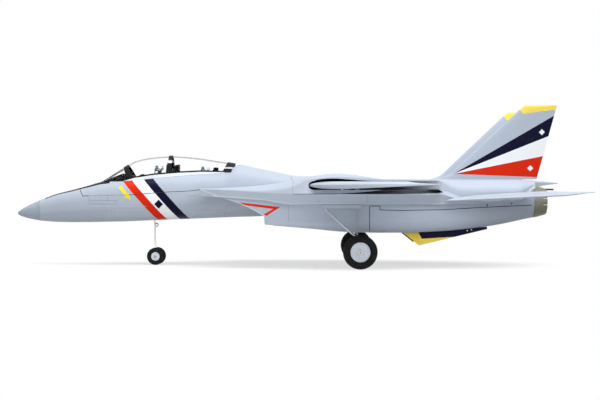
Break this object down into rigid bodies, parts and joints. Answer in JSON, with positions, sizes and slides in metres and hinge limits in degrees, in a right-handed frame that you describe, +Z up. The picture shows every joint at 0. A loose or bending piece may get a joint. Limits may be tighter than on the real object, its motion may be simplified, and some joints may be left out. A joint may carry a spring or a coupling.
{
  "type": "radio controlled jet plane",
  "caption": "Swing-wing model jet with ducted fans, sweeping wings, all-moving tailplanes, steerable nose leg, wire undercarriage and a lift-off canopy hatch.",
  "frame": {"origin": "middle of the bounding box's floor, on the ground under the wheels", "axes": "+X towards the tail, -Y the pilot's left, +Z up"},
  "size_m": [0.7603, 0.774, 0.216],
  "materials": {
    "grey_foam": "painted moulded foam, satin",
    "yellow_fin": "painted plastic sheet",
    "clear_canopy": "clear vacuum-formed canopy",
    "black_frame": "satin black",
    "pilot_figure": "painted figure",
    "nozzle_olive": "olive metallic paint",
    "fan_plastic": "moulded black",
    "motor_can": "machined",
    "steel_wire": "spring wire",
    "servo_case": "moulded",
    "white_nylon": "moulded nylon",
    "tyre_rubber": "black rubber",
    "hub_plastic": "moulded",
    "battery_wrap": "shrink wrap",
    "electronics": "shrink wrap"
  },
  "bodies": {
    "airframe": {"nose_cone": "grey_foam", "nose_tub": "grey_foam", "spine_tub": "grey_foam", "spine_cover": "grey_foam", "nose_gear_block": "white_nylon", "steering_servo": "servo_case", "battery_pack": "battery_wrap", "receiver": "electronics", "glove_left": "grey_foam", "glove_right": "grey_foam", "nacelle_left": "grey_foam", "nacelle_right": "grey_foam", "nozzle_left": "nozzle_olive", "nozzle_right": "nozzle_olive", "fan_shroud_left": "fan_plastic", "fan_shroud_right": "fan_plastic", "fan_motor_left": "motor_can", "fan_motor_right": "motor_can", "wing_pivot_left": "steel_wire", "wing_pivot_right": "steel_wire", "sweep_servo_left": "servo_case", "sweep_servo_right": "servo_case", "stab_servo_left": "servo_case", "stab_servo_right": "servo_case", "fin_left": "grey_foam", "fin_right": "grey_foam", "ventral_fin_left": "yellow_fin", "ventral_fin_right": "yellow_fin", "main_strut_left": "steel_wire", "main_strut_right": "steel_wire", "gear_block_left": "white_nylon", "gear_block_right": "white_nylon", "speed_controller_left": "electronics", "speed_controller_right": "electronics"},
    "hatch": {"hatch": "grey_foam", "canopy_glass": "clear_canopy", "canopy_frame": "black_frame", "cockpit_tray": "black_frame", "pilot_front": "pilot_figure", "pilot_rear": "pilot_figure"},
    "nose_leg": {"nose_strut": "steel_wire", "nose_tiller": "white_nylon"},
    "steering_arm": {"steering_arm": "white_nylon"},
    "steering_link": {"steering_link": "steel_wire"},
    "wing_left": {"wing_left": "grey_foam"},
    "sweep_arm_left": {"sweep_arm_left": "white_nylon"},
    "sweep_link_left": {"sweep_link_left": "steel_wire"},
    "stab_left": {"stab_left": "grey_foam"},
    "fan_rotor_left": {"fan_rotor_left": "fan_plastic"},
    "nose_wheel_left": {"nose_wheel_left": "tyre_rubber"},
    "main_wheel_left": {"main_tyre_left": "tyre_rubber", "main_hub_left": "hub_plastic"},
    "wing_right": {"wing_right": "grey_foam"},
    "sweep_arm_right": {"sweep_arm_right": "white_nylon"},
    "sweep_link_right": {"sweep_link_right": "steel_wire"},
    "stab_right": {"stab_right": "grey_foam"},
    "fan_rotor_right": {"fan_rotor_right": "fan_plastic"},
    "nose_wheel_right": {"nose_wheel_right": "tyre_rubber"},
    "main_wheel_right": {"main_tyre_right": "tyre_rubber", "main_hub_right": "hub_plastic"}
  },
  "joints": [
    {"name": "sweep_left", "type": "hinge", "parent": "airframe", "child": "wing_left", "pos_m": [0.09, -0.105, 0.11], "axis": [0, 0, 1], "range_deg": [0, 48]},
    {"name": "sweep_arm_left", "type": "hinge", "parent": "airframe", "child": "sweep_arm_left", "pos_m": [0.09, -0.018, 0.1044], "axis": [0, 0, 1], "range_deg": [0, 48]},
    {"name": "sweep_link_left", "type": "hinge", "parent": "sweep_arm_left", "child": "sweep_link_left", "pos_m": [0.07538, -0.01149, 0.1015], "axis": [0, 0, 1], "range_deg": [-48, 0]},
    {"name": "stab_turn_left", "type": "hinge", "parent": "airframe", "child": "stab_left", "pos_m": [0.285, -0.1036, 0.0975], "axis": [0, 1, 0], "range_deg": [-18, 18]},
    {"name": "fan_spin_left", "type": "hinge", "parent": "airframe", "child": "fan_rotor_left", "pos_m": [0.15, -0.0606, 0.0722], "axis": [1, 0, 0], "continuous": true},
    {"name": "main_roll_left", "type": "hinge", "parent": "airframe", "child": "main_wheel_left", "pos_m": [0.0944, -0.107, 0.0227], "axis": [0, 1, 0], "continuous": true},
    {"name": "nose_roll_left", "type": "hinge", "parent": "nose_leg", "child": "nose_wheel_left", "pos_m": [-0.1864, -0.01, 0.012], "axis": [0, 1, 0], "continuous": true},
    {"name": "sweep_right", "type": "hinge", "parent": "airframe", "child": "wing_right", "pos_m": [0.09, 0.105, 0.11], "axis": [0, 0, -1], "range_deg": [0, 48]},
    {"name": "sweep_arm_right", "type": "hinge", "parent": "airframe", "child": "sweep_arm_right", "pos_m": [0.09, 0.018, 0.1044], "axis": [0, 0, -1], "range_deg": [0, 48]},
    {"name": "sweep_link_right", "type": "hinge", "parent": "sweep_arm_right", "child": "sweep_link_right", "pos_m": [0.07538, 0.01149, 0.1015], "axis": [0, 0, -1], "range_deg": [-48, 0]},
    {"name": "stab_turn_right", "type": "hinge", "parent": "airframe", "child": "stab_right", "pos_m": [0.285, 0.1036, 0.0975], "axis": [0, 1, 0], "range_deg": [-18, 18]},
    {"name": "fan_spin_right", "type": "hinge", "parent": "airframe", "child": "fan_rotor_right", "pos_m": [0.15, 0.0606, 0.0722], "axis": [1, 0, 0], "continuous": true},
    {"name": "main_roll_right", "type": "hinge", "parent": "airframe", "child": "main_wheel_right", "pos_m": [0.0944, 0.107, 0.0227], "axis": [0, 1, 0], "continuous": true},
    {"name": "nose_roll_right", "type": "hinge", "parent": "nose_leg", "child": "nose_wheel_right", "pos_m": [-0.1864, 0.01, 0.012], "axis": [0, 1, 0], "continuous": true},
    {"name": "steer", "type": "hinge", "parent": "airframe", "child": "nose_leg", "pos_m": [-0.1888, 0, 0.0863], "axis": [0, 0, 1], "range_deg": [-30, 30]},
    {"name": "steer_arm", "type": "hinge", "parent": "airframe", "child": "steering_arm", "pos_m": [-0.236, 0, 0.0866], "axis": [0, 0, 1], "range_deg": [-30, 30]},
    {"name": "steer_link", "type": "hinge", "parent": "steering_arm", "child": "steering_link", "pos_m": [-0.236, -0.009, 0.0891], "axis": [0, 0, 1], "range_deg": [-30, 30]},
    {"name": "hatch_lift", "type": "slide", "parent": "airframe", "child": "hatch", "axis": [0, 0, 1], "range_m": [0, 0.06]}
  ],
  "couplings": [
    {"joint": "sweep_right", "follows": "sweep_left", "ratio": 1},
    {"joint": "sweep_arm_left", "follows": "sweep_left", "ratio": 1},
    {"joint": "sweep_link_left", "follows": "sweep_left", "ratio": -1},
    {"joint": "sweep_arm_right", "follows": "sweep_left", "ratio": 1},
    {"joint": "sweep_link_right", "follows": "sweep_left", "ratio": -1},
    {"joint": "steer_arm", "follows": "steer", "ratio": 1},
    {"joint": "steer_link", "follows": "steer", "ratio": -1}
  ]
}
